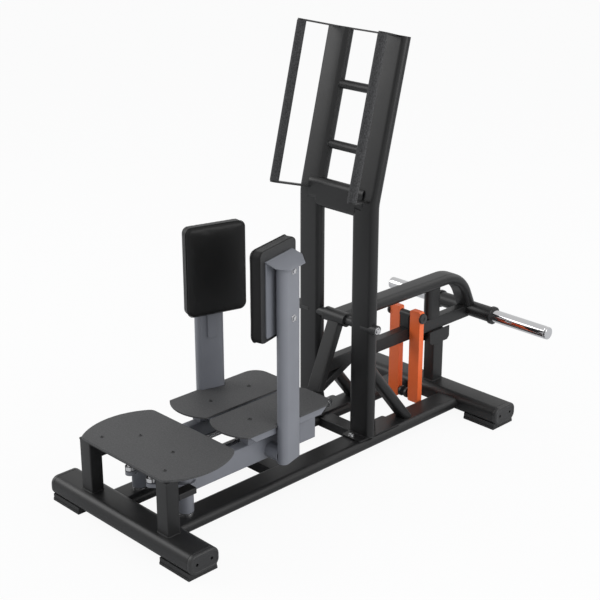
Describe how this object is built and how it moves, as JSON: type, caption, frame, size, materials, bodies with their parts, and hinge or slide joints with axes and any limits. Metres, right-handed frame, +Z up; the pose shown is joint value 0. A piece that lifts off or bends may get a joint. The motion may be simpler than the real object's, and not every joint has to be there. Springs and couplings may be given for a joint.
{
  "type": "standing hip abduction machine",
  "caption": "Plate-loaded standing leg machine: swinging foot plates with thigh pads push rods that lift a pivoted lever with weight horns, behind a step and in front of upright hand grips",
  "frame": {"origin": "middle of the overall length and width, on the floor", "axes": "+Y from the step to the weight horns, +Z up, +X to the right of the plane of symmetry"},
  "size_m": [0.812, 1.823, 1.5638],
  "materials": {
    "black_paint": "satin black powder coat",
    "grey_paint": "satin blue-grey powder coat",
    "orange_paint": "satin orange powder coat",
    "textured_plate": "fine-textured dark grey coating",
    "foot_rubber": "matt black rubber",
    "grip_rubber": "textured black rubber",
    "cap_plastic": "matt black moulding",
    "chrome": "bright chrome plate",
    "bright_steel": "bright zinc plate",
    "vinyl": "black upholstery vinyl over foam",
    "bush_plastic": "dark bearing plastic"
  },
  "bodies": {
    "frame": {"front_crossbar": "black_paint", "rear_crossbar": "black_paint", "crossbar_end_caps": "cap_plastic", "rubber_feet": "foot_rubber", "base_rails": "black_paint", "rail_ties": "black_paint", "uprights": "black_paint", "upright_base_plates": "black_paint", "upright_braces": "black_paint", "ladder_cross_tubes": "black_paint", "grip_frame": "black_paint", "hand_grips": "grip_rubber", "step_plate": "textured_plate", "step_legs": "black_paint", "step_screws": "bright_steel", "hub_pins": "bright_steel", "pivot_axle": "bright_steel", "axle_collars": "cap_plastic", "rest_post": "black_paint", "rest_rubber": "foot_rubber"},
    "lever": {"lever_sleeve": "black_paint", "lever_arm": "black_paint", "lever_leg": "black_paint", "lever_beam": "black_paint", "lever_braces": "black_paint", "link_pin": "bright_steel", "horn_cross_tube": "black_paint", "horn_flanges": "black_paint", "weight_horns": "chrome", "horn_end_caps": "chrome", "hanger_boss": "black_paint", "hanger_pin": "bright_steel", "hanger_pin_caps": "cap_plastic"},
    "right_arm": {"right_hub_bushes": "bush_plastic", "right_arm_hub": "grey_paint", "right_swing_arm": "grey_paint", "right_foot_plate": "textured_plate", "right_foot_tray": "grey_paint", "right_pad_post": "grey_paint", "right_pad_bracket": "grey_paint", "right_thigh_pad": "vinyl", "right_arm_fasteners": "bright_steel"},
    "right_ball": {"right_rod_ball": "bright_steel"},
    "right_rod": {"right_push_rod": "bright_steel"},
    "right_hanger": {"right_hanger_bar": "orange_paint", "right_hanger_peg": "cap_plastic"},
    "left_arm": {"left_hub_bushes": "bush_plastic", "left_arm_hub": "grey_paint", "left_swing_arm": "grey_paint", "left_foot_plate": "textured_plate", "left_foot_tray": "grey_paint", "left_pad_post": "grey_paint", "left_pad_bracket": "grey_paint", "left_thigh_pad": "vinyl", "left_arm_fasteners": "bright_steel"},
    "left_ball": {"left_rod_ball": "bright_steel"},
    "left_rod": {"left_push_rod": "bright_steel"},
    "left_hanger": {"left_hanger_bar": "orange_paint", "left_hanger_peg": "cap_plastic"}
  },
  "joints": [
    {"name": "lever_pivot", "type": "hinge", "parent": "frame", "child": "lever", "pos_m": [0, 0.1175, 0.503], "axis": [1, 0, 0], "range_deg": [0, 8.5]},
    {"name": "right_arm_swing", "type": "hinge", "parent": "frame", "child": "right_arm", "pos_m": [0.124, -0.7175, 0.15], "axis": [0, 0, -1], "range_deg": [0, 30]},
    {"name": "right_ball_yaw", "type": "hinge", "parent": "right_arm", "child": "right_ball", "pos_m": [0.056, -0.8045, 0.203], "axis": [0, 0, 1], "range_deg": [0, 27.7]},
    {"name": "right_rod_pitch", "type": "hinge", "parent": "right_ball", "child": "right_rod", "pos_m": [0.056, -0.8045, 0.203], "axis": [1, 0, 0], "range_deg": [-0.75, 0]},
    {"name": "right_hanger_swing", "type": "hinge", "parent": "lever", "child": "right_hanger", "pos_m": [0.051, 0.5075, 0.408], "axis": [1, 0, 0], "range_deg": [-20, 10]},
    {"name": "left_arm_swing", "type": "hinge", "parent": "frame", "child": "left_arm", "pos_m": [-0.124, -0.7175, 0.15], "axis": [0, 0, 1], "range_deg": [0, 30]},
    {"name": "left_ball_yaw", "type": "hinge", "parent": "left_arm", "child": "left_ball", "pos_m": [-0.056, -0.8045, 0.203], "axis": [0, 0, -1], "range_deg": [0, 27.7]},
    {"name": "left_rod_pitch", "type": "hinge", "parent": "left_ball", "child": "left_rod", "pos_m": [-0.056, -0.8045, 0.203], "axis": [1, 0, 0], "range_deg": [-0.75, 0]},
    {"name": "left_hanger_swing", "type": "hinge", "parent": "lever", "child": "left_hanger", "pos_m": [-0.051, 0.5075, 0.408], "axis": [1, 0, 0], "range_deg": [-20, 10]}
  ],
  "couplings": [
    {"joint": "right_arm_swing", "follows": "lever_pivot", "ratio": 3.529},
    {"joint": "right_ball_yaw", "follows": "lever_pivot", "ratio": 3.2506},
    {"joint": "right_rod_pitch", "follows": "lever_pivot", "ratio": -0.0824},
    {"joint": "left_arm_swing", "follows": "lever_pivot", "ratio": 3.529},
    {"joint": "left_ball_yaw", "follows": "lever_pivot", "ratio": 3.2506},
    {"joint": "left_rod_pitch", "follows": "lever_pivot", "ratio": -0.0824}
  ]
}
